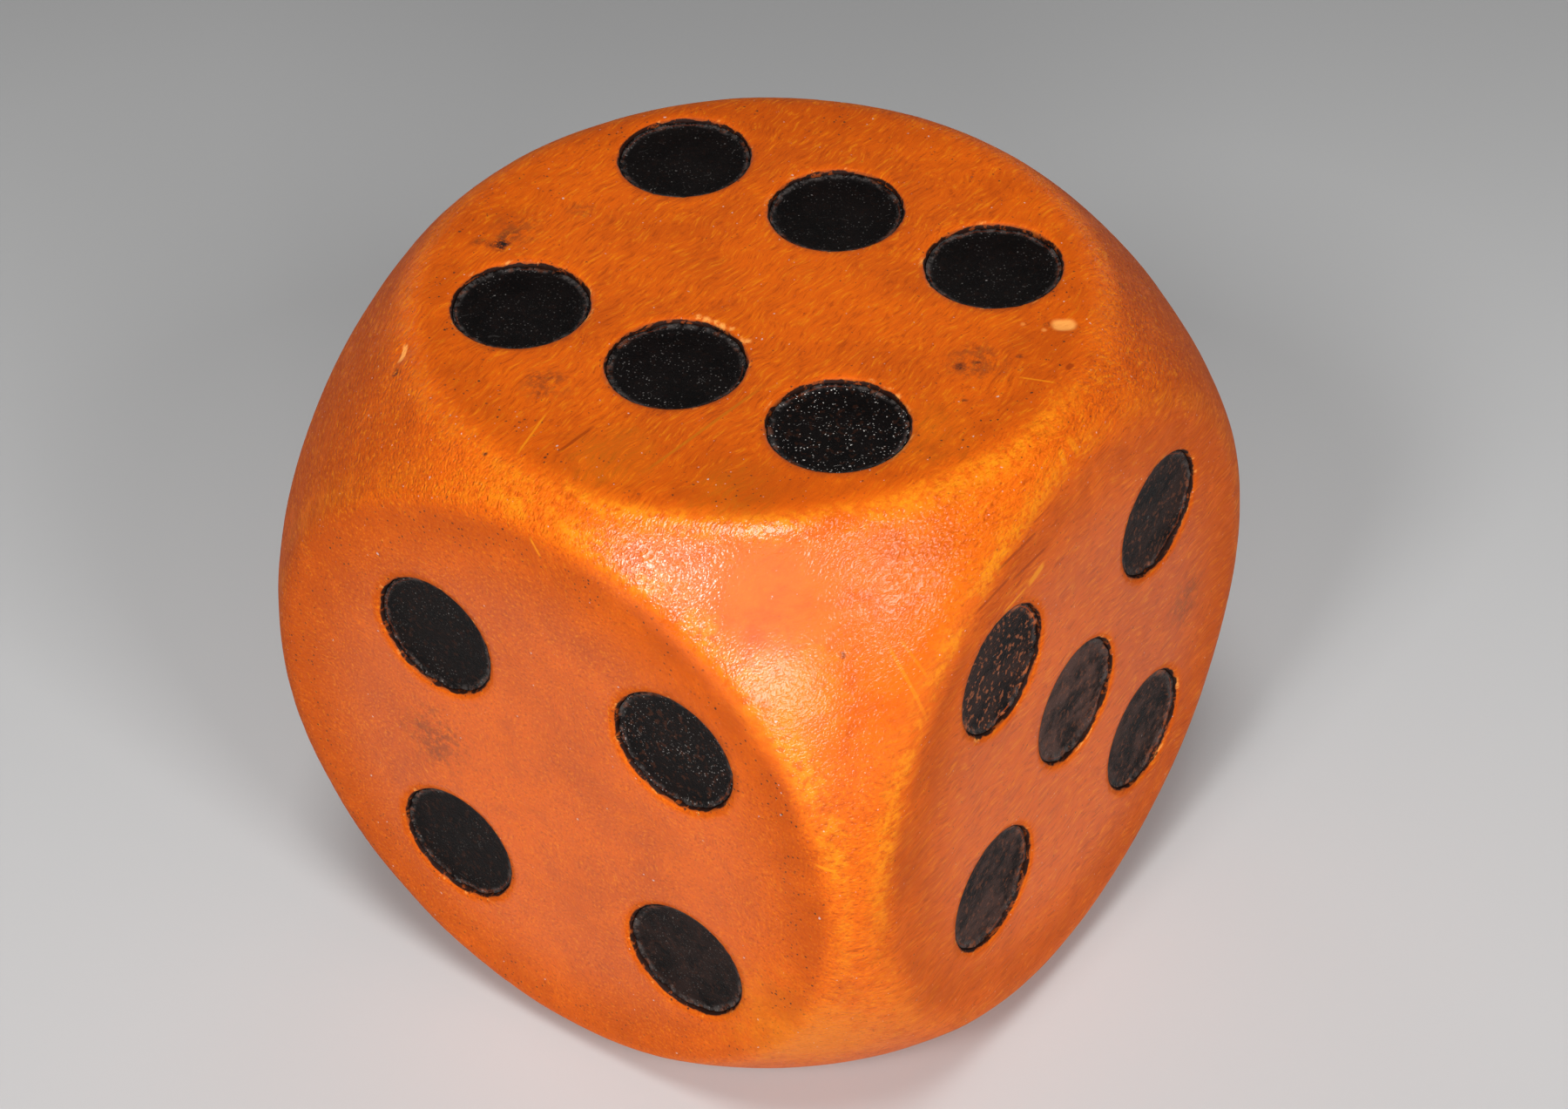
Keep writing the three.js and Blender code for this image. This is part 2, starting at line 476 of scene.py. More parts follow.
def dent_depth(graph, place, roundness):
    """How deep the surface is knocked in: at the large dents, and at scattered ones on the ball."""
    cells = graph.node("ShaderNodeTexVoronoi", {"Vector": place, "Scale": 1 / DENT_SPACING})
    chance = graph.parts(cells.outputs["Color"])
    held = graph.math("LESS_THAN", chance[0], DENT_SHARE)
    width = graph.line(chance[1], 0.10, 0.08)
    depth = graph.step(cells.outputs["Distance"], 0.0, width, DENT_DEPTH, 0.0)
    total = graph.product(depth, held, roundness)
    for centre, radius, deep in LARGE_DENTS:
        gap = graph.vector("DISTANCE", place, centre)
        total = graph.math("ADD", total, graph.step(gap, radius * 0.3, radius, deep, 0.0))
    return total


def rim_round(graph, given, direction, lean):
    """The radius of the rim round on the side of the block that a direction points to."""
    nearly = 0.0001
    sides = graph.parts(direction)
    forward = graph.math("COMPARE", sides[1], graph.product(lean, -1.0), nearly)
    right = graph.math("COMPARE", sides[0], lean, nearly)
    usual = graph.choice(forward, given["Rim Round"], given["Crisp Rim Round"])
    return graph.choice(right, usual, given["Soft Rim Round"])


def block_form(graph, given, direction):
    """How far the block reaches in a direction, how round it is there, and its inset."""
    early = 0.012  # added to the lean of a flat's edge, so that the roundness starts inside it
    half, ball = given["Half Edge"], given["Ball Radius"]
    parts = graph.parts(graph.vector("ABSOLUTE", direction))
    lean = graph.math("MAXIMUM", parts[0], graph.math("MAXIMUM", parts[1], parts[2]))
    across = graph.math("SQRT", graph.math("SUBTRACT", 1.0, graph.product(lean, lean)))

    rim = rim_round(graph, given, direction, lean)
    round_height = graph.math("SUBTRACT", half, rim)
    round_reach = graph.math("SUBTRACT", ball, rim)
    reach_squared = graph.product(round_reach, round_reach)
    height_squared = graph.product(round_height, round_height)
    flat_radius = graph.math("SQRT", graph.math("SUBTRACT", reach_squared, height_squared))
    flat_lean = graph.math("DIVIDE", half, graph.vector("LENGTH", graph.joined(half, flat_radius)))
    ball_lean = graph.math("DIVIDE", round_height, round_reach)

    along = graph.line(flat_radius, across, graph.product(round_height, lean))
    under = graph.line(along, along, graph.product(rim, rim))
    rounded = graph.math("ADD", along, graph.math("SQRT", graph.math("SUBTRACT", under, reach_squared)))
    curved = graph.choice(graph.math("LESS_THAN", lean, ball_lean), rounded, ball)
    on_flat = graph.math("GREATER_THAN", lean, flat_lean)
    reach = graph.choice(on_flat, curved, graph.math("DIVIDE", half, lean))

    roundness = graph.step(lean, graph.math("ADD", flat_lean, early), ball_lean)
    inset = graph.math("SUBTRACT", flat_radius, graph.product(reach, across))
    return reach, roundness, inset


def rounded_cube(graph, given):
    """A grid over a cube, pushed out to the flats, the rim rounds and the ball, all a little uneven."""
    count = given["Grid Count"]
    counts = {"Size": (2, 2, 2), "Vertices X": count, "Vertices Y": count, "Vertices Z": count}
    cube = graph.node("GeometryNodeMeshCube", counts).outputs["Mesh"]
    evened = graph.vector("TANGENT", graph.scaled(graph.position(), math.pi / 4))
    direction = graph.vector("NORMALIZE", evened)
    reach, roundness, inset = block_form(graph, given, direction)
    known = graph.stored(graph.stored(cube, "roundness", roundness), "inset", inset)

    wave = graph.noise(graph.scaled(direction, given["Ball Radius"]), 0.13)
    steadier_on_flats = graph.line(roundness, 0.8, 0.2)
    swell = graph.product(graph.math("SUBTRACT", wave, 0.5), given["Unevenness"], steadier_on_flats)
    even_place = graph.vector("ADD", graph.scaled(direction, reach), tuple(MIDDLE))
    dents = dent_depth(graph, even_place, roundness)
    worn_reach = graph.math("SUBTRACT", graph.math("ADD", reach, swell), dents)
    placed = graph.vector("ADD", graph.scaled(direction, worn_reach), tuple(MIDDLE))
    return graph.node("GeometryNodeSetPosition", {"Geometry": known, "Position": placed}).outputs[0]


def drill_bits(graph, given):
    """A straight drill in each pip, which holds the pip's floor and outward direction."""
    length = graph.math("ADD", given["Pip Depth"], DRILL_OVERRUN)
    bit = {
        "Vertices": DRILL_SIDES,
        "Side Segments": DRILL_RISES,
        "Radius": given["Pip Radius"],
        "Depth": length,
    }
    cylinder = graph.node("GeometryNodeMeshCylinder", bit).outputs["Mesh"]
    lift = {"Geometry": cylinder, "Translation": graph.joined(z=graph.product(length, 0.5))}
    stood = graph.node("GeometryNodeTransform", lift).outputs[0]
    points = graph.node("GeometryNodeMeshToPoints", {"Mesh": given["Pips"]}).outputs[0]
    copies = {
        "Points": graph.stored(points, "floor", graph.position(), "FLOAT_VECTOR"),
        "Instance": stood,
        "Rotation": graph.facing(graph.held_vector("outward")),
    }
    bits = graph.node("GeometryNodeInstanceOnPoints", copies).outputs[0]
    return graph.node("GeometryNodeRealizeInstances", {"Geometry": bits}).outputs[0]


def drilled_out(graph, given):
    """What the drill takes out of the block, with the rounding and the torn fibres of each rim."""
    wall_start = 0.001  # above the floor, which stays as it is
    depth, flare_depth = given["Pip Depth"], given["Flare Depth"]
    place, floor, outward = graph.position(), graph.held_vector("floor"), graph.held_vector("outward")
    rise = graph.vector("DOT_PRODUCT", graph.vector("SUBTRACT", place, floor), outward)
    axis_point = graph.vector("ADD", floor, graph.scaled(outward, rise))
    away = graph.vector("NORMALIZE", graph.vector("SUBTRACT", place, axis_point))

    near_face = graph.step(rise, graph.product(depth, 0.55), depth)
    torn = graph.step(torn_fibres(graph, place), 0.53, 0.74)
    frayed = graph.noise(graph.vector("MULTIPLY", place, TORN_STRETCH), 5.5)
    chip = graph.product(torn, near_face, given["Tear Out"])
    nibble = graph.product(frayed, near_face, given["Nibble"])

    climb = graph.math("SUBTRACT", rise, graph.math("SUBTRACT", depth, flare_depth))
    climb = graph.ramp(climb, 0.0, flare_depth)
    bend = graph.math("SQRT", graph.math("SUBTRACT", 1.0, graph.product(climb, climb)))
    flare = graph.product(graph.math("SUBTRACT", 1.0, bend), given["Flare Width"])
    push = graph.math("ADD", flare, graph.math("ADD", chip, nibble))
    moved = {
        "Geometry": drill_bits(graph, given),
        "Selection": graph.math("GREATER_THAN", rise, wall_start),
        "Offset": graph.scaled(away, push),
    }
    return graph.node("GeometryNodeSetPosition", moved).outputs[0]


def with_pip_gap(graph, given, shape):
    """Stores how far each vertex lies outside the nearest pip, and how high above its floor."""
    place = graph.position()
    nearest = graph.node("GeometryNodeSampleNearest", {"Geometry": given["Pips"]}).outputs[0]
    floor = graph.sampled(given["Pips"], place, nearest)
    axis = graph.sampled(given["Pips"], graph.held_vector("outward"), nearest)
    offset = graph.vector("SUBTRACT", place, floor)
    rise = graph.vector("DOT_PRODUCT", offset, axis)
    beside = graph.vector("LENGTH", graph.vector("SUBTRACT", offset, graph.scaled(axis, rise)))
    gap = graph.math("SUBTRACT", beside, given["Pip Radius"])
    return graph.stored(graph.stored(shape, "pip_gap", gap), "pip_rise", rise)


def shaded(graph, shape):
    """Smooth all over, but for edges that bend sharply."""
    smooth = {"Geometry": shape, "Shade Smooth": True}
    soft = graph.node("GeometryNodeSetShadeSmooth", smooth, domain="FACE").outputs[0]
    bend = graph.node("GeometryNodeInputMeshEdgeAngle").outputs["Unsigned Angle"]
    crisp = graph.math("GREATER_THAN", bend, SHARP_BEND)
    sharp = {"Geometry": soft, "Selection": crisp, "Shade Smooth": False}
    return graph.node("GeometryNodeSetShadeSmooth", sharp, domain="EDGE").outputs[0]


def block_tree(sizes):
    """The rounded cube with its pips drilled, with an input for each of its sizes."""
    numbers = dict.fromkeys(sizes, "number")
    graph, given, result = new_group(
        "drilled_block",
        "GeometryNodeTree",
        {"Pips": "shape", **numbers, "Grid Count": "count", "Finish": "material"},
        {"Block": "shape"},
    )
    both = {"Mesh 1": rounded_cube(graph, given), "Mesh 2": drilled_out(graph, given)}
    cut = graph.node("GeometryNodeMeshBoolean", both, operation="DIFFERENCE", solver="MANIFOLD")
    known = with_pip_gap(graph, given, cut.outputs[0])
    graph.feed(result["Block"], finished(graph, given, shaded(graph, known)))
    return graph.tree


# The paint

def film_height(graph, given, path, out, spot, edge):
    """Height over the floor along a film's path: up its outer wall, then over its lip to its middle."""
    third = 0.37  # what is left of the lip's height after each lip fall
    thickness = given["Thickness"]
    climb = graph.step(graph.noise(edge, 1.1, detail=3.0), 0.30, 0.62, 0.25, 1.0)
    lip = graph.product(graph.math("SUBTRACT", given["Height"], thickness), climb)
    falls = graph.math("DIVIDE", graph.math("SUBTRACT", given["Radius"], out), given["Lip Fall"])
    rise = graph.product(lip, graph.math("POWER", third, falls))
    lump = graph.math("SUBTRACT", graph.noise(spot, 1.6, detail=4.0, roughness=0.6), 0.5)
    lumpy = graph.product(lump, given["Lumps"])
    top = graph.math("ADD", graph.math("ADD", thickness, rise), lumpy)
    wall = graph.product(graph.math("ADD", thickness, lip), graph.ramp(path, UNDERSIDE_END, WALL_END))
    return graph.choice(graph.math("GREATER_THAN", path, WALL_END), wall, top)


def paint_tree():
    """A film of paint: flat under, thin over the floor, with an uneven edge that climbs the wall."""
    sizes = dict.fromkeys(("Radius", "Height", "Thickness", "Lip Fall", "Lumps"), "number")
    counts = dict.fromkeys(("Sides", "Rings"), "count")
    graph, given, result = new_group(
        "paint_film",
        "GeometryNodeTree",
        {"Place": "shape", **sizes, **counts, "Finish": "material"},
        {"Film": "shape"},
    )
    weld_gap = 0.002
    square = {"Size X": 1.0, "Size Y": 1.0, "Vertices X": given["Sides"], "Vertices Y": given["Rings"]}
    sheet = graph.node("GeometryNodeMeshGrid", square).outputs["Mesh"]
    place = graph.position()
    flat = graph.parts(place)
    turn = graph.product(graph.math("ADD", flat[0], 0.5), 2 * math.pi)
    path = graph.math("ADD", flat[1], 0.5)
    inward = graph.ramp(path, WALL_END, 1.0, 1.0, 0.0)
    out = graph.product(graph.ramp(path, 0.0, UNDERSIDE_END), inward, given["Radius"])

    floor = graph.sampled(given["Place"], place, 0)
    axis = graph.sampled(given["Place"], graph.held_vector("outward"), 0)
    circle = graph.joined(graph.math("COSINE", turn), graph.math("SINE", turn))
    stood = {"Vector": circle, "Rotation": graph.facing(axis)}
    ring = graph.node("FunctionNodeRotateVector", stood).outputs[0]
    spot = graph.vector("ADD", floor, graph.scaled(ring, out))
    edge = graph.vector("ADD", floor, graph.scaled(ring, given["Radius"]))
    height = film_height(graph, given, path, out, spot, edge)

    placed = {
        "Geometry": graph.stored(sheet, "lip", inward),
        "Position": graph.vector("ADD", spot, graph.scaled(axis, height)),
    }
    shaped = graph.node("GeometryNodeSetPosition", placed).outputs[0]
    weld = {"Geometry": shaped, "Distance": weld_gap}
    closed = graph.node("GeometryNodeMergeByDistance", weld).outputs[0]
    smooth = {"Geometry": closed, "Shade Smooth": True}
    film = graph.node("GeometryNodeSetShadeSmooth", smooth).outputs[0]
    graph.feed(result["Film"], finished(graph, given, film))
    return graph.tree


# Surface effects that the wood and the paint share

def fibre_group():
    """Wood fibre that runs along Y: fine streaks, blotches, broad mottle, and the fibres' relief."""
    graph, given, result = new_group(
        "wood_fibre",
        "ShaderNodeTree",
        {"Place": "vector", "Fineness": "number"},
        {"Streak": "number", "Blotch": "number", "Mottle": "number", "Relief": "number"},
    )
    place, fineness = given["Place"], given["Fineness"]
    drift = graph.noise(place, 0.3, output="Color")
    bent = graph.vector("ADD", place, graph.scaled(drift, 1.5))
    drawn = graph.vector("MULTIPLY", bent, (1.0, 0.14, 1.0))
    patch = graph.vector("MULTIPLY", bent, (1.0, 0.6, 1.0))
    coarser = graph.product(fineness, 0.45)
    graph.feed(result["Streak"], graph.noise(drawn, fineness, detail=3.0, roughness=0.65))
    graph.feed(result["Blotch"], graph.noise(patch, 0.95, detail=6.0, roughness=0.68))
    graph.feed(result["Mottle"], graph.noise(place, 0.17, detail=3.0, roughness=0.55))
    graph.feed(result["Relief"], graph.noise(drawn, coarser, detail=4.0, roughness=0.6))
    return graph.tree


def speck_group():
    """Scattered specks of uneven outline: one in a share of the cells of a pattern."""
    graph, given, result = new_group(
        "specks",
        "ShaderNodeTree",
        {"Place": "vector", "Fineness": "number", "Share": "number", "Size": "number"},
        {"Mask": "number"},
    )
    place, fineness = given["Place"], given["Fineness"]
    ragged = graph.noise(place, graph.product(fineness, 2.0), output="Color")
    shaken = graph.vector("ADD", place, graph.scaled(ragged, graph.math("DIVIDE", 0.5, fineness)))
    cells = graph.node("ShaderNodeTexVoronoi", {"Vector": shaken, "Scale": fineness})
    chance = graph.node("ShaderNodeSeparateColor", {0: cells.outputs["Color"]}).outputs
    held = graph.math("LESS_THAN", chance[0], given["Share"])
    size = graph.product(given["Size"], graph.line(chance[1], 0.8, 0.2))
    spot = graph.step(cells.outputs["Distance"], graph.product(size, 0.55), size, 1.0, 0.0)
    graph.feed(result["Mask"], graph.product(held, spot))
    return graph.tree


def new_finish(name):
    """A material with a Principled shader: its graph, its place in millimetres and the shader."""
    material = bpy.data.materials.new(name)
    material.use_nodes = True
    material.node_tree.nodes.clear()
    graph = Graph(material.node_tree)
    output = graph.node("ShaderNodeOutputMaterial")
    shader = graph.node("ShaderNodeBsdfPrincipled")
    graph.feed(output.inputs["Surface"], shader.outputs[0])
    coordinates = graph.node("ShaderNodeTexCoord").outputs["Object"]
    place = graph.scaled(coordinates, 1 / MILLIMETRE)
    return material, graph, place, shader


# The finish of the wood

class WoodPoint:
    """What the wood's finish knows of each point on the block, as sockets of its graph."""

    def __init__(self, graph, place, fibre):
        self.place = place
        self.grain = graph.group(fibre, place=place, fineness=WOOD_FINENESS)
        self.ragged = graph.noise(place, 1.6, detail=5.0, roughness=0.7, output="Color")
        self.roundness = graph.attribute("roundness")  # 0 on a flat face, 1 on the ball
        self.inset = graph.attribute("inset")  # inwards from the edge of a flat face
        self.pip_gap = graph.attribute("pip_gap")  # outwards from the wall of the nearest pip
        self.pip_rise = graph.attribute("pip_rise")  # upwards from the floor of that pip
        sides = graph.parts(place)
        self.right = sides[0]
        self.height = sides[2]
        self.from_corner = graph.vector("DISTANCE", place, POLISHED_CORNER)
        in_plan = graph.vector("MULTIPLY", place, (1.0, 1.0, 0.0))
        self.from_edge = graph.vector("DISTANCE", in_plan, (*POLISHED_CORNER[:2], 0.0))


def marked(graph, point, colour, marks, mark_colour, broken):
    """The colour with listed spots on it, each ragged, and let through by the broken mask."""
    for centre, radius, strength in marks:
        shake = radius * 1.6
        shaken = graph.vector("ADD", point.place, graph.scaled(point.ragged, shake))
        gap = graph.vector("DISTANCE", shaken, tuple(part + shake / 2 for part in centre))
        share = graph.step(gap, radius * 0.2, radius, strength, 0.0)
        colour = graph.mix(graph.product(share, broken), colour, mark_colour)
    return colour


def scratched(graph, point, colour, lines, line_colour):
    """The colour with listed lines on it, each in the plane of its ends and the block's middle."""
    for start, end, width, strength in lines:
        middle = (Vector(start) + Vector(end)) / 2
        half_length = (Vector(end) - Vector(start)).length / 2
        side = (Vector(end) - Vector(start)).cross(middle - MIDDLE).normalized()
        across = graph.vector("DOT_PRODUCT", point.place, tuple(side))
        beside = graph.math("ABSOLUTE", graph.math("SUBTRACT", across, middle.dot(side)))
        along = graph.vector("DISTANCE", point.place, tuple(middle))
        thin = graph.step(beside, width * 0.4, width, strength, 0.0)
        long = graph.step(along, half_length * 0.6, half_length * 1.1, 1.0, 0.0)
        colour = graph.mix(graph.product(thin, long), colour, line_colour)
    return colour


def stained(graph, point):
    """Orange stain: mottled and streaked, darkened by painted shade on the far side and along the top's
    back edge, rubbed thin round the front edge.
    """
    rubbed_zone = (6.0, 15.0)  # distances from the front edge
    far_zone = (13.0, 22.0)
    far_end = (25.0, 31.0)
    back_edge_zone = (24.0, 31.0)
    top_zone = (28.8, 30.0)  # heights
    top_rim = (29.0, 29.6)
    unpolished_zone = (4.0, 8.0)  # distances from the polished corner
    grain, roundness = point.grain, point.roundness

    mottled = graph.step(grain["Mottle"], 0.40, 0.68, 0.0, 0.50)
    colour = graph.mix(mottled, STAIN_ORANGE, DEEP_STAIN_AND_SHADE)
    # Painted shade: the stain is darkened towards the far side of the block and along the back edge of
    # the top.
    painted_far_shade = graph.product(
        graph.step(point.from_edge, *far_zone),
        graph.step(point.height, *top_zone, 0.85, 0.15),
        graph.step(roundness, 0.0, 0.5, 0.65, 1.0),
        graph.step(point.from_edge, *far_end, 1.0, 0.15),
    )
    painted_back_edge_shade = graph.product(
        graph.step(point.from_edge, *back_edge_zone, 0.0, 0.78),
        graph.step(point.height, *top_rim),
    )
    colour = graph.mix(graph.math("MAXIMUM", painted_far_shade, painted_back_edge_shade), colour, DEEP_STAIN_AND_SHADE)
    rubbed = graph.product(
        graph.step(roundness, 0.15, 0.8),
        graph.step(grain["Blotch"], 0.72, 0.40),
        graph.step(point.from_edge, *rubbed_zone, 0.75, 0.08),
    )
    colour = graph.mix(rubbed, colour, STAIN_WORN)
    more_on_flats = graph.line(roundness, -0.20, 0.38)
    blotches = graph.product(graph.step(grain["Blotch"], 0.50, 0.72), more_on_flats)
    colour = graph.mix(blotches, colour, DEEP_STAIN_AND_SHADE)
    colour = graph.mix(graph.step(grain["Blotch"], 0.48, 0.30, 0.0, 0.45), colour, STAIN_WORN)
    unpolished = graph.step(point.from_corner, *unpolished_zone, 0.10, 0.50)
    dark_fibres = graph.product(graph.step(grain["Streak"], 0.51, 0.71), unpolished)
    colour = graph.mix(dark_fibres, colour, STAIN_DARK)
    pale_fibres = graph.product(graph.step(grain["Streak"], 0.48, 0.29), unpolished)
    return graph.mix(pale_fibres, colour, STAIN_YELLOW)


def handled(graph, point, colour, specks):
    """Dirt just inside each rim, the rim itself rubbed yellow, and specks of dirt and dust all over."""
    inside_rim = (-0.6, 0.2, 0.3, 3.0)  # insets
    on_rim = (-1.9, -1.0, -0.9, -0.3)
    yellow_zone = (8.0, 17.0)  # distances from the polished corner
    dirty_zone = (5.0, 9.0)
    place = point.place
    uneven = graph.noise(place, 0.55, detail=5.0, roughness=0.65)
    grimy = graph.product(graph.between(point.inset, *inside_rim), graph.step(uneven, 0.34, 0.62))
    colour = graph.mix(graph.product(grimy, 0.50), colour, DEEP_STAIN_AND_SHADE)
    frayed = graph.noise(place, 3.2, detail=5.0, roughness=0.7)
    yellow = graph.product(
        graph.between(point.inset, *on_rim),
        graph.step(frayed, 0.36, 0.60),
        graph.step(uneven, 0.62, 0.46),
        graph.step(point.from_corner, *yellow_zone, 0.80, 0.18),
    )
    colour = graph.mix(yellow, colour, STAIN_YELLOW)

    fine_dirt = graph.group(specks, place=place, fineness=3.6, share=0.32, size=0.18)["Mask"]
    dirty = graph.step(point.from_corner, *dirty_zone, 0.08, 0.75)
    colour = graph.mix(graph.product(fine_dirt, dirty), colour, GRIME)
    dense_dirt = graph.group(specks, place=place, fineness=4.5, share=0.50, size=0.32)["Mask"]
    colour = graph.mix(graph.product(dense_dirt, graph.line(grimy, 1.15, 0.16)), colour, GRIME)
    dust = graph.group(specks, place=place, fineness=1.9, share=0.16, size=0.13)["Mask"]
    colour = graph.mix(graph.product(dust, 0.6), colour, DUST)
    fine_dust = graph.group(specks, place=place, fineness=4.4, share=0.20, size=0.18)["Mask"]
    return graph.mix(graph.product(fine_dust, 0.5), colour, DUST)


def drilled(graph, point, colour):
    """The pips' walls, painted nearly to the top, and the torn fibres on their rims."""
    torn_ring = (0.02, 0.08, 0.10, 0.30)  # gaps from the wall
    dirty_ring = (0.02, 0.14)
    painted_ring = (0.35, 0.40)
    brush_edge = 0.03  # over which the paint ends
    gap = point.pip_gap
    torn = graph.step(torn_fibres(graph, point.place), 0.57, 0.66, 0.0, 0.7)
    colour = graph.mix(graph.product(torn, graph.between(gap, *torn_ring)), colour, BARE_WOOD)
    colour = graph.mix(graph.step(gap, *dirty_ring, 0.6, 0.0), colour, GRIME)

    brushed = graph.noise(point.place, 1.4, detail=3.0)
    spill = graph.step(brushed, 0.35, 0.70, 0.0, 0.06)
    on_rim = graph.step(gap, graph.math("SUBTRACT", spill, brush_edge), spill, 0.95, 0.0)
    top = graph.step(brushed, 0.30, 0.60, 0.40, 0.47)
    below_top = graph.step(point.pip_rise, graph.math("SUBTRACT", top, brush_edge), top, 0.95, 0.0)
    on_wall = graph.product(below_top, graph.step(gap, *painted_ring, 1.0, 0.0))
    fibre = graph.vector("MULTIPLY", point.place, TORN_STRETCH)
    unchipped = graph.step(graph.noise(fibre, 3.2, detail=4.0, roughness=0.65), 0.54, 0.62, 1.0, 0.35)
    painted = graph.product(graph.math("MAXIMUM", on_wall, on_rim), unchipped)
    return graph.mix(painted, colour, PAINT_BLACK)


def wood_colour(graph, point, specks):
    """Stain, then wear and dirt, then scratches and marks, then the rims and walls of the pips."""
    place, grain = point.place, point.grain
    streaky = graph.step(grain["Streak"], 0.38, 0.58)
    solid = graph.step(grain["Blotch"], 0.05, 0.25)
    broken = graph.step(graph.noise(place, 2.4, detail=5.0, roughness=0.7), 0.40, 0.58)
    crumbled = graph.step(graph.noise(place, 5.0, detail=4.0, roughness=0.7), 0.36, 0.54)

    colour = stained(graph, point)
    colour = marked(graph, point, colour, OLIVE_STREAKS, STAIN_OLIVE, streaky)
    colour = marked(graph, point, colour, RUBBED_SPOTS, STAIN_YELLOW, solid)
    colour = handled(graph, point, colour, specks)
    colour = scratched(graph, point, colour, DARK_LINES, STAIN_DARK)
    colour = scratched(graph, point, colour, OLIVE_LINES, STAIN_OLIVE)
    colour = scratched(graph, point, colour, PALE_LINES, STAIN_YELLOW)
    colour = marked(graph, point, colour, SMUDGES, GRIME, broken)
    colour = marked(graph, point, colour, SOOT_SPOTS, SOOT, crumbled)
    colour = scratched(graph, point, colour, NICKS, BARE_WOOD)
    colour = marked(graph, point, colour, PALE_CHIPS, BARE_WOOD, solid)
    colour = marked(graph, point, colour, TORN_BITS, BARE_WOOD, broken)
    return drilled(graph, point, colour)


def lacquer_left(graph, point):
    """How much lacquer is left: little near rims and pips, and most at the polished corner."""
    face_five = (14.6, 14.9)  # how far right
    rim_zone = (0.3, 5.0)  # inset
    pip_zone = (0.10, 0.55)  # gap from a pip
    edge_zone = (3.0, 7.0)  # distance from the front edge
    corner_zone = (6.0, 9.5)  # distance from the polished corner
    gloss_zone = (3.0, 6.0)  # distance from the glossiest place
    flats = graph.product(
        graph.step(point.inset, *rim_zone, 0.10, 1.0),
        graph.step(point.pip_gap, *pip_zone, 0.2, 1.0),
        graph.line(point.grain["Blotch"], 0.5, 0.45),
        graph.step(point.right, *face_five, 0.85, 0.52),
    )
    edge = graph.step(point.from_edge, *edge_zone, 0.40, 0.03)
    corner = graph.step(point.from_corner, *corner_zone, 1.0, edge)
    from_glossiest = graph.vector("DISTANCE", point.place, GLOSSIEST)
    ball = graph.product(corner, graph.step(from_glossiest, *gloss_zone, 0.95, 0.48))
    return graph.line(point.roundness, graph.math("SUBTRACT", ball, flats), flats)


def lacquer_relief(graph, point):
    """Height of the lacquer: crinkled over the fibres, smooth at one corner, rounded at each pip."""
    near_zone = (0.5, 4.8)  # distances from the smoothest place
    far_zone = (6.0, 10.0)
    corner_zone = (24.8, 26.6)  # height
    pip_zone = (0.0, 0.55)  # gap from a pip
    softness = 0.006  # of the top of each ridge
    wrinkled = graph.vector("MULTIPLY", point.place, (1.0, 0.48, 1.0))
    wave = graph.line(graph.noise(wrinkled, 5.8, detail=1.5, roughness=0.55), 2.0, -1.0)
    ridge = graph.math("SQRT", graph.line(wave, wave, softness))
    pitted = graph.noise(wrinkled, 9.0, detail=1.0)
    crinkle = graph.line(pitted, 0.16, graph.product(ridge, -0.68))

    from_smoothest = graph.vector("DISTANCE", point.place, SMOOTHEST)
    near = graph.step(from_smoothest, *near_zone, 0.05, 0.42)
    far = graph.step(from_smoothest, *far_zone, 0.0, 0.45)
    amount = graph.product(
        graph.line(point.roundness, 0.90, 0.10),
        graph.math("ADD", near, far),
        graph.step(point.height, *corner_zone, 0.65, 1.0),
    )
    return graph.line(crinkle, amount, graph.step(point.pip_gap, *pip_zone, 0.0, 0.25))


def lacquered_wood(fibre, specks):
    material, graph, place, shader = new_finish("lacquered_wood")
    point = WoodPoint(graph, place, fibre)
    graph.feed(shader.inputs["Base Color"], wood_colour(graph, point, specks))
    graph.feed(shader.inputs["Roughness"], graph.line(point.grain["Blotch"], 0.25, 0.55))
    graph.feed(shader.inputs["Coat Weight"], lacquer_left(graph, point))
    shader.inputs["Specular IOR Level"].default_value = WOOD_SHINE
    shader.inputs["Coat Roughness"].default_value = LACQUER_ROUGHNESS

    crinkles = lacquer_relief(graph, point)
    fibres = graph.line(point.grain["Relief"], 0.3, crinkles)
    graph.feed(shader.inputs["Coat Normal"], graph.bump(crinkles, LACQUER_RELIEF))
    graph.feed(shader.inputs["Normal"], graph.bump(fibres, LACQUER_RELIEF))
    return material


# The finish of the paint

class PaintPoint:
    """What the paint's finish knows of each point on a film, as sockets of its graph."""

    def __init__(self, graph, place, fibre):
        self.place = place
        self.grain = graph.group(fibre, place=place, fineness=PAINT_FINENESS)
        self.wear = graph.attribute("wear")
        self.flecks = graph.attribute("flecks")
        self.dusting = graph.attribute("dusting")
        self.lip = graph.attribute("lip")  # 0 in the middle of a film, 1 at its edge


def worn_paint(graph, point):
    """Black paint, brown where it is thin, with flecks of wood where it has holes."""
    thin = graph.product(graph.step(point.grain["Blotch"], 0.36, 0.62), point.wear)
    colour = graph.mix(thin, PAINT_BLACK, PAINT_BROWN)
    holes = graph.step(graph.noise(point.place, 4.2, detail=3.0, roughness=0.6), 0.565, 0.63)
    return graph.mix(graph.product(holes, point.flecks), colour, FLECK_BROWN)


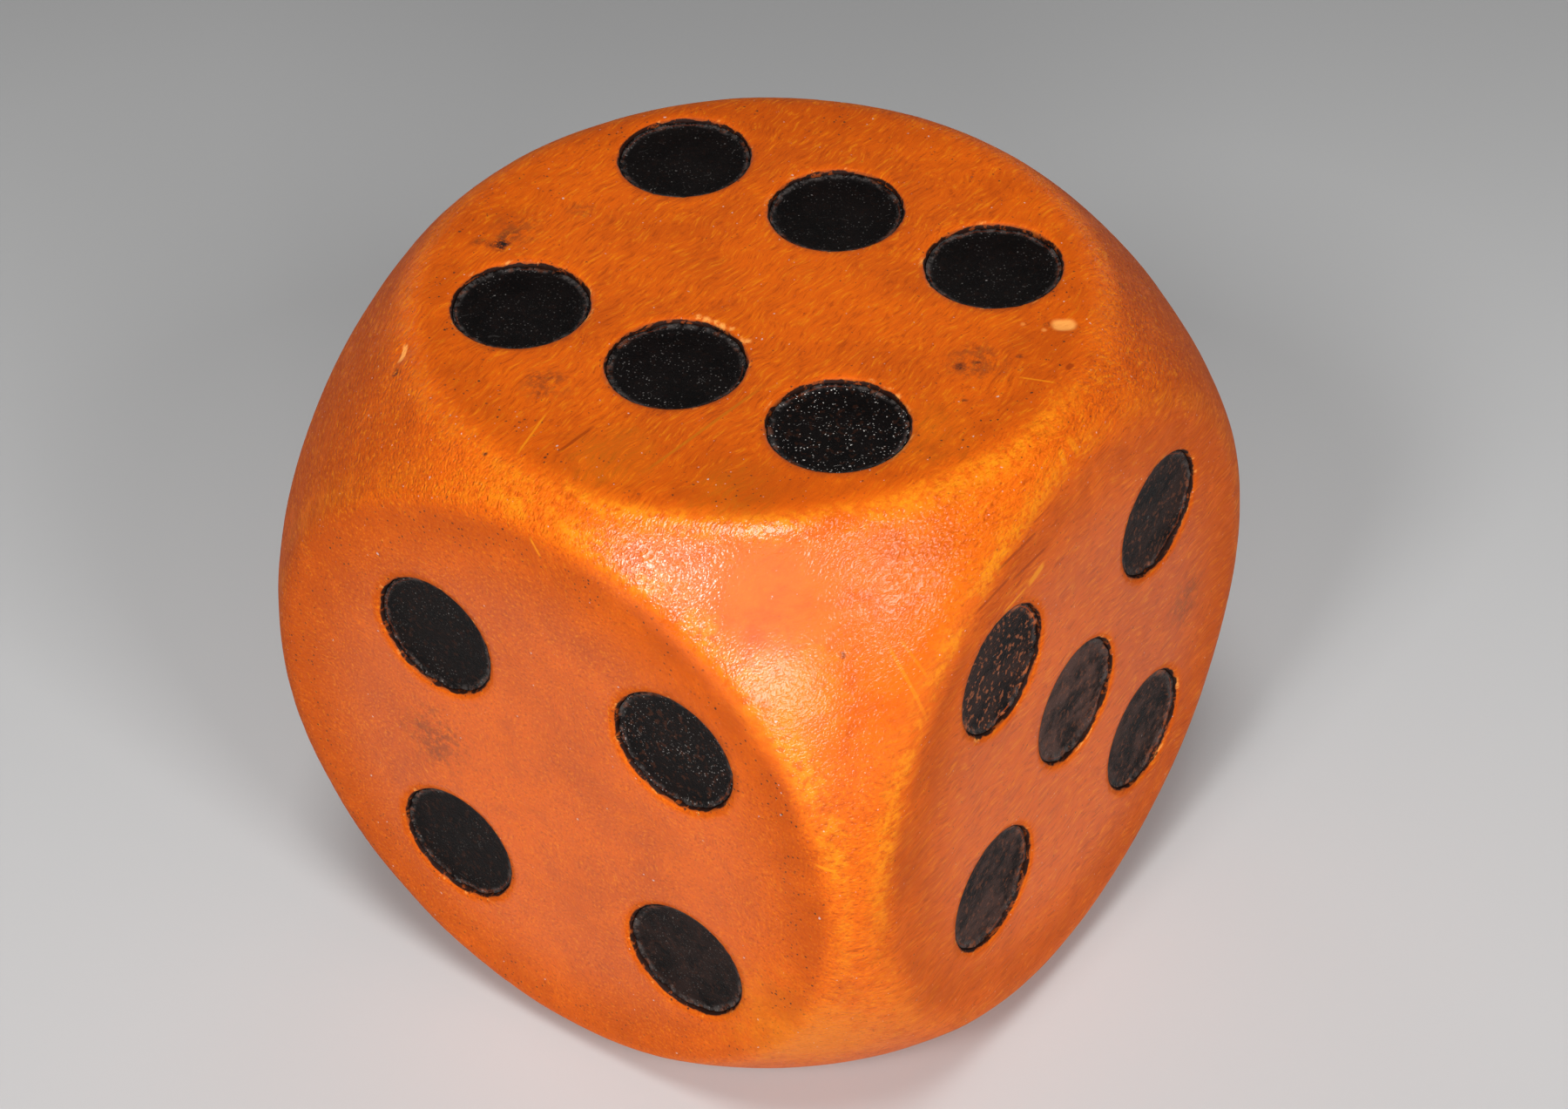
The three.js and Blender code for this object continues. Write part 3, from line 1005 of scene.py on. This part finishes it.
def rubbed_lip(graph, point, colour):
    """The raised edge of a film: scraped along its foot, greyed with dust and a painted sheen, and
    chipped to bare wood.
    """
    foot_of_lip = (0.935, 0.95, 0.955, 0.97)
    lip_end = 0.96
    long_arcs = graph.step(graph.noise(point.place, 0.33), 0.48, 0.56)
    foot = graph.between(point.lip, *foot_of_lip)
    scraped = graph.product(foot, long_arcs, graph.line(point.flecks, 0.6, 0.1))
    colour = graph.mix(scraped, colour, DEEP_STAIN_AND_SHADE)
    on_lip = graph.step(point.lip, graph.line(point.wear, -0.10, 0.89), lip_end)
    # Painted sheen: the lip is greyed in patches, partly dust and partly the sheen of its raised edge.
    dust_and_sheen = graph.noise(point.place, 3.0, detail=5.0, roughness=0.75)
    colour = graph.mix(graph.product(on_lip, graph.step(dust_and_sheen, 0.42, 0.64, 0.0, 0.55)), colour, LIP_DUST_AND_SHEEN)
    along_grain = graph.vector("MULTIPLY", point.place, (1.0, 0.55, 1.0))
    chips = graph.step(graph.noise(along_grain, 2.6, detail=4.0, roughness=0.65), 0.55, 0.62)
    chipped = graph.product(on_lip, chips, graph.line(point.flecks, 0.8, 0.1))
    return graph.mix(chipped, colour, LIP_BARE)


def lint_lines(graph, place):
    """Hair-thin curved lines, broken up into short lengths."""
    half_width = 0.010
    level = graph.noise(place, 0.9, detail=0.0)
    off = graph.math("ABSOLUTE", graph.math("SUBTRACT", level, 0.5))
    hair = graph.step(off, 0.0, half_width, 1.0, 0.0)
    lengths = graph.step(graph.noise(place, 1.53, detail=1.0), 0.66, 0.70)
    return graph.product(hair, lengths)


def dusted(graph, point, colour, specks):
    """Dust that has settled in drifts and along the lip, larger specks, and lint."""
    place, dusting = point.place, point.dusting
    fine_dust = graph.group(specks, place=place, fineness=8.0, share=0.85, size=0.34)["Mask"]
    drifts = graph.step(graph.noise(place, 0.5), 0.30, 0.60)
    settled = graph.line(graph.step(point.lip, 0.65, 0.9), 0.5, drifts)
    patchy = graph.step(point.grain["Blotch"], 0.30, 0.65, 0.15, 0.9)
    colour = graph.mix(graph.product(fine_dust, settled, dusting, patchy), colour, DUST)
    dust = graph.group(specks, place=place, fineness=3.0, share=0.30, size=0.15)["Mask"]
    colour = graph.mix(graph.product(dust, graph.line(dusting, 0.6, 0.15)), colour, DUST)
    return graph.mix(graph.product(lint_lines(graph, place), dusting, 0.3), colour, DUST)


def black_paint(fibre, specks):
    material, graph, place, shader = new_finish("black_paint")
    point = PaintPoint(graph, place, fibre)
    colour = rubbed_lip(graph, point, worn_paint(graph, point))
    graph.feed(shader.inputs["Base Color"], dusted(graph, point, colour, specks))
    graph.feed(shader.inputs["Roughness"], graph.line(point.grain["Blotch"], 0.3, 0.40))
    shader.inputs["Specular IOR Level"].default_value = PAINT_SHINE

    grit = graph.noise(place, 7.0, detail=4.0, roughness=0.65)
    skin = graph.line(point.grain["Relief"], 0.5, grit)
    graph.feed(shader.inputs["Normal"], graph.bump(skin, PAINT_RELIEF))
    return material


# The pieces

def add_object(name, content):
    added = bpy.data.objects.new(name, content)
    bpy.context.scene.collection.objects.link(added)
    return added


def add_piece(name, mesh, node):
    piece = add_object(name, mesh)
    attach(piece, "root")
    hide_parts(node)


def add_block(finish):
    sizes = {
        "Half Edge": HALF_EDGE,
        "Ball Radius": BALL_RADIUS,
        "Rim Round": RIM_ROUND,
        "Crisp Rim Round": CRISP_RIM_ROUND,
        "Soft Rim Round": SOFT_RIM_ROUND,
        "Unevenness": UNEVENNESS,
        "Pip Radius": PIP_RADIUS,
        "Pip Depth": PIP_DEPTH,
        "Flare Width": FLARE_WIDTH,
        "Flare Depth": FLARE_DEPTH,
        "Tear Out": TEAR_OUT,
        "Nibble": NIBBLE,
    }
    values = {**sizes, "Grid Count": GRID_COUNT, "Finish": finish}
    mesh = grown_mesh("block_of_wood", block_tree(sizes), values, PIPS)
    add_piece("block_of_wood", mesh, "wooden_block")


def add_paint(finish):
    tree = paint_tree()
    for pip in PIPS:
        values = {
            "Radius": pip.radius,
            "Height": pip.height,
            "Thickness": PAINT_THICKNESS,
            "Lip Fall": LIP_FALL,
            "Lumps": PAINT_LUMPS,
            "Sides": FILM_SIDES,
            "Rings": FILM_RINGS,
            "Finish": finish,
        }
        name = "paint_" + pip.node
        mesh = grown_mesh(name, tree, values, [pip])
        face = pip.node.split("_")[1]
        amounts = PIP_PAINT.get(pip.node, FACE_PAINT[face])
        for label, amount in zip(PAINT_AMOUNTS, amounts):
            attribute = mesh.attributes.new(label, "FLOAT", "POINT")
            for datum in attribute.data:
                datum.value = amount
        add_piece(name, mesh, pip.node)


# The stage

def add_floor():
    """A pale floor whose colour darkens away from the camera, as painted shade."""
    signs = ((-1, -1), (1, -1), (1, 1), (-1, 1))
    corners = [(x * FLOOR_REACH, y * FLOOR_REACH, -FLOOR_DROP) for x, y in signs]
    mesh = bpy.data.meshes.new("floor")
    mesh.from_pydata([Vector(corner) * MILLIMETRE for corner in corners], [], [(0, 1, 2, 3)])
    floor = add_object("floor", mesh)
    material, graph, place, shader = new_finish("floor")
    away = CAMERA_AIM - CAMERA_PLACE
    away.z = 0
    distance = graph.vector("DOT_PRODUCT", place, tuple(away.normalized()))
    # Painted shade: the floor's colour darkens from in front of the die to behind it.
    shade = graph.mix(graph.step(distance, *FLOOR_SHADE_FADE), FLOOR_NEAR, FLOOR_FAR_SHADED)
    graph.feed(shader.inputs["Base Color"], shade)
    shader.inputs["Roughness"].default_value = FLOOR_ROUGHNESS
    shader.inputs["Specular IOR Level"].default_value = 0.0
    mesh.materials.append(material)


def add_lamp(name, azimuth, elevation, width, power):
    """A square soft lamp that looks at the die. Azimuth 0 is the -Y side, 90 the +X side."""
    lamp = bpy.data.lights.new(name, "AREA")
    lamp.size = width * MILLIMETRE
    lamp.energy = power
    bearing, height = math.radians(azimuth), math.radians(elevation)
    flat = math.cos(height)
    direction = Vector((math.sin(bearing) * flat, -math.cos(bearing) * flat, math.sin(height)))
    holder = add_object(name, lamp)
    holder.location = (MIDDLE + direction * LAMP_DISTANCE) * MILLIMETRE
    holder.rotation_euler = direction.to_track_quat("Z", "Y").to_euler()


def add_world():
    """Weak light from all round, and a brighter backdrop where the camera sees it."""
    world = bpy.data.worlds.new("studio")
    bpy.context.scene.world = world
    world.use_nodes = True
    graph = Graph(world.node_tree)
    background = world.node_tree.nodes["Background"]
    background.inputs["Color"].default_value = WHITE
    seen = graph.node("ShaderNodeLightPath").outputs["Is Camera Ray"]
    graph.feed(background.inputs["Strength"], graph.line(seen, BACKDROP_GLOW, FILL_LIGHT))


def add_camera():
    camera = bpy.data.cameras.new("camera")
    camera.lens = CAMERA_LENS
    camera.sensor_width = SENSOR_WIDTH
    camera.sensor_fit = "HORIZONTAL"
    camera.clip_start = NEAREST_SEEN * MILLIMETRE
    upright = (CAMERA_AIM - CAMERA_PLACE).to_track_quat("-Z", "Y").to_matrix()
    holder = add_object("camera", camera)
    holder.location = CAMERA_PLACE * MILLIMETRE
    holder.rotation_euler = (upright @ upright.Rotation(CAMERA_ROLL, 3, "Z")).to_euler()
    bpy.context.scene.camera = holder


add_camera()
fibre, specks = fibre_group(), speck_group()
add_block(lacquered_wood(fibre, specks))
add_paint(black_paint(fibre, specks))
add_floor()
add_lamp("top_lamp", azimuth=30, elevation=74, width=329, power=5.88)
add_lamp("left_lamp", azimuth=4, elevation=41, width=243, power=5.71)
add_lamp("right_lamp", azimuth=71, elevation=35, width=314, power=5.55)
add_lamp("low_lamp", azimuth=37, elevation=15.5, width=310, power=5.22)
add_lamp("front_lamp", azimuth=41, elevation=37, width=714, power=1.96)
add_lamp("back_left_lamp", azimuth=250, elevation=6, width=250, power=1.6)
add_lamp("back_right_lamp", azimuth=188, elevation=6, width=250, power=1.6)
add_world()
bpy.context.scene.view_settings.view_transform = "Standard"
